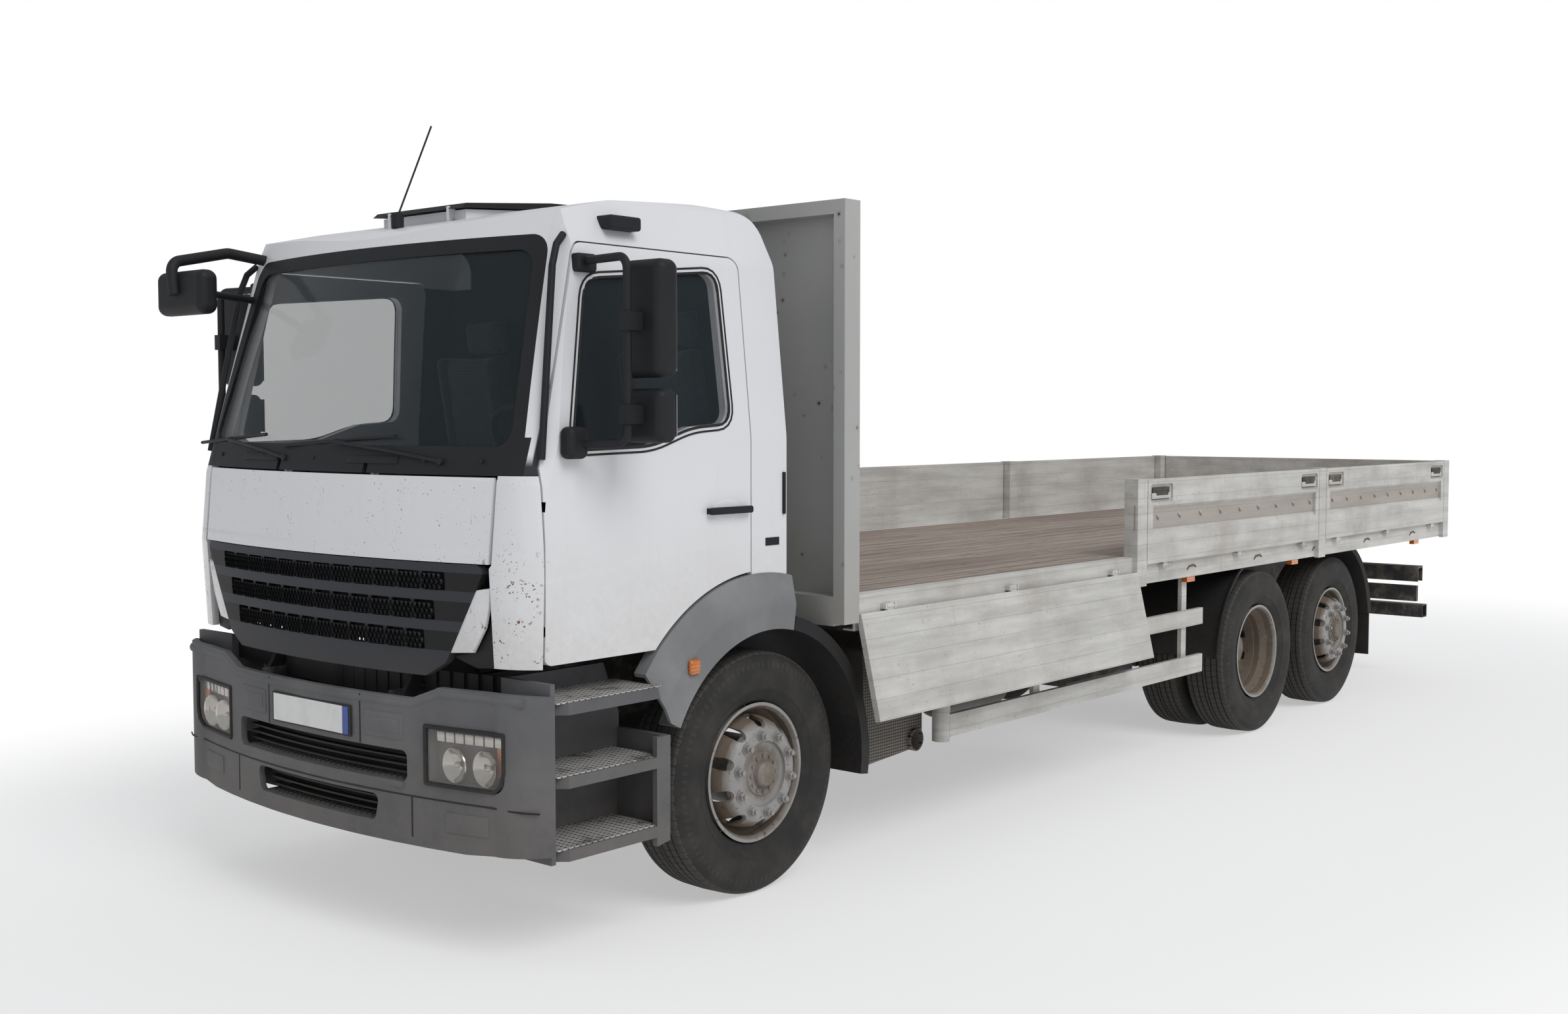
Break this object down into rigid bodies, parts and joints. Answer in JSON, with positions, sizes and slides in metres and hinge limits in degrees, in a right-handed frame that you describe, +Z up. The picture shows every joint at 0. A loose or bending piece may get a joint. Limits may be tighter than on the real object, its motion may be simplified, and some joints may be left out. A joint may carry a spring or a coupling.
{
  "type": "truck",
  "caption": "Three-axle platform truck with drop sides, a headboard, a tilting cab with opening doors, and twin driven wheels ahead of a trailing axle.",
  "frame": {"origin": "on the ground, at the centre of the overall box", "axes": "+X towards the front of the truck, +Y towards its left side, +Z up"},
  "size_m": [9.68, 2.96, 3.2666],
  "materials": {
    "frame_paint": "satin chassis paint under road dirt",
    "engine_iron": "oily cast iron",
    "axle_iron": "painted cast iron, dusty",
    "exhaust_steel": "stained perforated steel",
    "tank_paint": "dark paint, dusty",
    "grey_plastic": "scuffed moulded plastic",
    "lamp_lens": "clear and coloured lens",
    "black_plastic": "dull moulded plastic",
    "charcoal_plastic": "dull moulded plastic",
    "flare_plastic": "weathered moulded plastic",
    "pale_aluminium": "dull aluminium with dirt",
    "bed_paint": "grey-blue paint with rust spots",
    "deck_wood": "weathered boards",
    "tyre": "dusty rubber",
    "wheel_paint": "silver paint with brown dirt",
    "white_paint": "gloss paint with chips",
    "clear_glass": "clear",
    "seat_cloth": "woven cloth"
  },
  "bodies": {
    "chassis": {"frame": "frame_paint", "cross_members": "frame_paint", "powertrain": "engine_iron", "front_axle": "axle_iron", "rear_axles": "axle_iron", "exhaust": "exhaust_steel", "tanks": "tank_paint", "bumper": "grey_plastic", "headlamps": "lamp_lens", "steps": "grey_plastic", "mudguards": "black_plastic", "side_guards": "pale_aluminium", "underrun": "frame_paint", "lamps": "lamp_lens", "bed_beams": "bed_paint", "bed_cross_members": "bed_paint", "bed_rails": "bed_paint", "bed_floor": "deck_wood", "headboard": "bed_paint", "bed_posts": "pale_aluminium"},
    "cab": {"cab_shell": "white_paint", "corner_panels": "white_paint", "windscreen_surround": "black_plastic", "windscreen": "clear_glass", "front_mirror": "black_plastic", "cab_flares": "flare_plastic", "seats": "seat_cloth", "dashboard": "black_plastic", "roof_fittings": "black_plastic"},
    "front_flap": {"flap_panel": "white_paint", "grille": "charcoal_plastic"},
    "roof_hatch": {"roof_hatch": "black_plastic"},
    "tailboard": {"tailboard": "pale_aluminium"},
    "knuckle_left": {"knuckle_left": "axle_iron"},
    "front_wheel_left": {"tyre_front_left": "tyre", "wheel_front_left": "wheel_paint"},
    "drive_wheels_left": {"tyres_drive_left": "tyre", "wheels_drive_left": "wheel_paint"},
    "tag_wheel_left": {"tyre_tag_left": "tyre", "wheel_tag_left": "wheel_paint"},
    "door_left": {"door_left": "white_paint", "door_glass_left": "clear_glass", "mirror_left": "black_plastic"},
    "board_left_1": {"board_left_1": "pale_aluminium"},
    "board_left_2": {"board_left_2": "pale_aluminium"},
    "board_left_3": {"board_left_3": "pale_aluminium"},
    "knuckle_right": {"knuckle_right": "axle_iron"},
    "front_wheel_right": {"tyre_front_right": "tyre", "wheel_front_right": "wheel_paint"},
    "drive_wheels_right": {"tyres_drive_right": "tyre", "wheels_drive_right": "wheel_paint"},
    "tag_wheel_right": {"tyre_tag_right": "tyre", "wheel_tag_right": "wheel_paint"},
    "door_right": {"door_right": "white_paint", "door_glass_right": "clear_glass", "mirror_right": "black_plastic"},
    "board_right_1": {"board_right_1": "pale_aluminium"},
    "board_right_2": {"board_right_2": "pale_aluminium"},
    "board_right_3": {"board_right_3": "pale_aluminium"}
  },
  "joints": [
    {"name": "steer_left", "type": "hinge", "parent": "chassis", "child": "knuckle_left", "pos_m": [3.33, 0.845, 0.522], "axis": [0, 0, 1], "range_deg": [-38, 38]},
    {"name": "roll_front_left", "type": "hinge", "parent": "knuckle_left", "child": "front_wheel_left", "pos_m": [3.33, 1, 0.522], "axis": [0, 1, 0], "continuous": true},
    {"name": "roll_drive_left", "type": "hinge", "parent": "chassis", "child": "drive_wheels_left", "pos_m": [-1.47, 0.917, 0.522], "axis": [0, 1, 0], "continuous": true},
    {"name": "roll_tag_left", "type": "hinge", "parent": "chassis", "child": "tag_wheel_left", "pos_m": [-2.82, 1.018, 0.522], "axis": [0, 1, 0], "continuous": true},
    {"name": "steer_right", "type": "hinge", "parent": "chassis", "child": "knuckle_right", "pos_m": [3.33, -0.845, 0.522], "axis": [0, 0, 1], "range_deg": [-38, 38]},
    {"name": "roll_front_right", "type": "hinge", "parent": "knuckle_right", "child": "front_wheel_right", "pos_m": [3.33, -1, 0.522], "axis": [0, 1, 0], "continuous": true},
    {"name": "roll_drive_right", "type": "hinge", "parent": "chassis", "child": "drive_wheels_right", "pos_m": [-1.47, -0.917, 0.522], "axis": [0, 1, 0], "continuous": true},
    {"name": "roll_tag_right", "type": "hinge", "parent": "chassis", "child": "tag_wheel_right", "pos_m": [-2.82, -1.018, 0.522], "axis": [0, 1, 0], "continuous": true},
    {"name": "cab_tilt", "type": "hinge", "parent": "chassis", "child": "cab", "pos_m": [4.665, 0, 0.93], "axis": [0, 1, 0], "range_deg": [0, 60]},
    {"name": "door_left_hinge", "type": "hinge", "parent": "cab", "child": "door_left", "pos_m": [4.47, 1.14, 1.5], "axis": [0, 0, 1], "range_deg": [-65, 0]},
    {"name": "door_right_hinge", "type": "hinge", "parent": "cab", "child": "door_right", "pos_m": [4.47, -1.14, 1.5], "axis": [0, 0, -1], "range_deg": [-65, 0]},
    {"name": "front_flap_hinge", "type": "hinge", "parent": "cab", "child": "front_flap", "pos_m": [4.66, 0, 1.85], "axis": [0, 1, 0], "range_deg": [-75, 0]},
    {"name": "roof_hatch_hinge", "type": "hinge", "parent": "cab", "child": "roof_hatch", "pos_m": [4.204, 0, 2.9], "axis": [0, 1, 0], "range_deg": [0, 20]},
    {"name": "board_left_1_hinge", "type": "hinge", "parent": "chassis", "child": "board_left_1", "pos_m": [1.54, 1.262, 1.18], "axis": [1, 0, 0], "range_deg": [0, 167]},
    {"name": "board_left_2_hinge", "type": "hinge", "parent": "chassis", "child": "board_left_2", "pos_m": [-1.05, 1.262, 1.18], "axis": [1, 0, 0], "range_deg": [-167, 0]},
    {"name": "board_left_3_hinge", "type": "hinge", "parent": "chassis", "child": "board_left_3", "pos_m": [-3.56, 1.262, 1.18], "axis": [1, 0, 0], "range_deg": [-167, 0]},
    {"name": "board_right_1_hinge", "type": "hinge", "parent": "chassis", "child": "board_right_1", "pos_m": [1.54, -1.262, 1.18], "axis": [-1, 0, 0], "range_deg": [-167, 0]},
    {"name": "board_right_2_hinge", "type": "hinge", "parent": "chassis", "child": "board_right_2", "pos_m": [-1.05, -1.262, 1.18], "axis": [-1, 0, 0], "range_deg": [-167, 0]},
    {"name": "board_right_3_hinge", "type": "hinge", "parent": "chassis", "child": "board_right_3", "pos_m": [-3.56, -1.262, 1.18], "axis": [-1, 0, 0], "range_deg": [-167, 0]},
    {"name": "tailboard_hinge", "type": "hinge", "parent": "chassis", "child": "tailboard", "pos_m": [-4.827, 0, 1.18], "axis": [0, 1, 0], "range_deg": [-167, 0]}
  ],
  "couplings": [
    {"joint": "steer_right", "follows": "steer_left", "ratio": 1}
  ]
}
